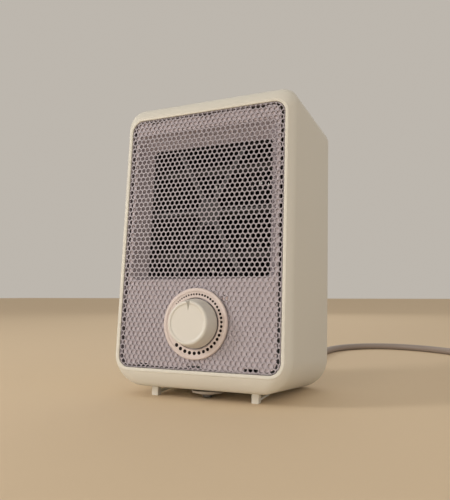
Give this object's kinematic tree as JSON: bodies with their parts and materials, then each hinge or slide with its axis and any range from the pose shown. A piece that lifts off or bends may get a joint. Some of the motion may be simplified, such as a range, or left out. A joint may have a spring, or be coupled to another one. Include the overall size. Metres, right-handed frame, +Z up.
{
  "type": "space heater",
  "caption": "Compact upright ceramic fan heater: moulded housing leaning back on front feet, perforated metal front, round dial with a dot scale, mains lead with plug.",
  "frame": {"origin": "on the table under the middle of the heater: bottom centre of its box without the lead", "axes": "+Z up, +X to the right seen from the front, +Y from the front to the back; the housing leans back 5 degrees about X"},
  "size_m": [0.3585, 0.4676, 0.2299],
  "materials": {
    "cream_plastic": "fine satin moulding grain",
    "knob_plastic": "smooth satin",
    "ring_plastic": "satin with a printed scale of dots",
    "lilac_sheet": "satin paint on perforated sheet",
    "lilac_plastic": "satin",
    "dark_plastic": "satin",
    "guard_metal": "dark coated",
    "core_metal": "dark oxidised",
    "ceramic": "unglazed",
    "tin_plate": "bright",
    "brass": "turned",
    "lamination": "stacked laminations",
    "copper_winding": "varnished winding under tape",
    "phenolic": "moulded",
    "cutout_case": "moulded",
    "lamp_lens": "translucent",
    "grey_plastic": "satin",
    "pad_rubber": "matt",
    "block_plastic": "satin",
    "brown_wire": "insulation",
    "blue_wire": "insulation",
    "white_wire": "insulation",
    "lead_sheath": "matt flexible sheath",
    "plug_plastic": "satin"
  },
  "bodies": {
    "housing": {"housing_sleeve": "cream_plastic", "rear_cover": "cream_plastic", "foot_left": "cream_plastic", "foot_right": "cream_plastic", "dial_ring": "ring_plastic", "mesh_grille": "lilac_sheet", "inner_panel": "lilac_plastic", "element_frame": "dark_plastic", "fan_duct": "dark_plastic", "motor_bracket": "dark_plastic", "tip_switch_body": "dark_plastic", "cord_clamp": "dark_plastic", "clamp_base": "dark_plastic", "element_guard": "guard_metal", "heating_core": "core_metal", "ceramic_stone_1": "ceramic", "ceramic_stone_2": "ceramic", "ceramic_stone_3": "ceramic", "element_terminal_left": "tin_plate", "element_terminal_right": "tin_plate", "motor_screw_left": "tin_plate", "motor_screw_right": "tin_plate", "cover_screw_1": "tin_plate", "cover_screw_2": "tin_plate", "cover_screw_3": "tin_plate", "cover_screw_4": "tin_plate", "bearing_strap": "tin_plate", "thermal_fuse": "tin_plate", "thermostat_nut": "brass", "motor_bush_front": "brass", "motor_bush_rear": "brass", "plug_pin_earth": "brass", "plug_pin_live": "brass", "plug_pin_neutral": "brass", "motor_stator": "lamination", "motor_winding": "copper_winding", "thermostat_body": "phenolic", "thermal_cutout": "cutout_case", "indicator_lamp": "lamp_lens", "rear_pad_left": "pad_rubber", "rear_pad_right": "pad_rubber", "terminal_block": "block_plastic", "wire_live": "brown_wire", "wire_neutral": "blue_wire", "wire_switch": "white_wire", "power_cord": "lead_sheath", "cord_coil": "lead_sheath", "cord_end": "lead_sheath", "strain_relief": "lead_sheath", "plug_body": "plug_plastic"},
    "dial": {"control_knob": "knob_plastic", "thermostat_shaft": "tin_plate"},
    "fan": {"fan_impeller": "dark_plastic", "motor_rotor": "lamination", "motor_shaft": "tin_plate"},
    "tip_button": {"tip_plunger": "grey_plastic"},
    "tip_lever": {"switch_lever": "tin_plate"}
  },
  "joints": [
    {"name": "dial_turn", "type": "hinge", "parent": "housing", "child": "dial", "pos_m": [0, -0.05136, 0.05623], "axis": [0, 0.9962, -0.0872], "range_deg": [-48, 223]},
    {"name": "fan_spin", "type": "hinge", "parent": "housing", "child": "fan", "pos_m": [0, 0.01597, 0.13748], "axis": [0, 0.9962, -0.0872], "continuous": true},
    {"name": "tip_slide", "type": "slide", "parent": "housing", "child": "tip_button", "axis": [0, -0.0872, -0.9962], "range_m": [0, 0.0035], "stiffness_N_per_m": 60, "springref_m": 0.008},
    {"name": "lever_swing", "type": "hinge", "parent": "housing", "child": "tip_lever", "pos_m": [0, -0.01481, 0.01506], "axis": [1, 0, 0], "range_deg": [0, 13]}
  ],
  "couplings": [
    {"joint": "lever_swing", "follows": "tip_slide", "rad_per_m": 62.5}
  ]
}
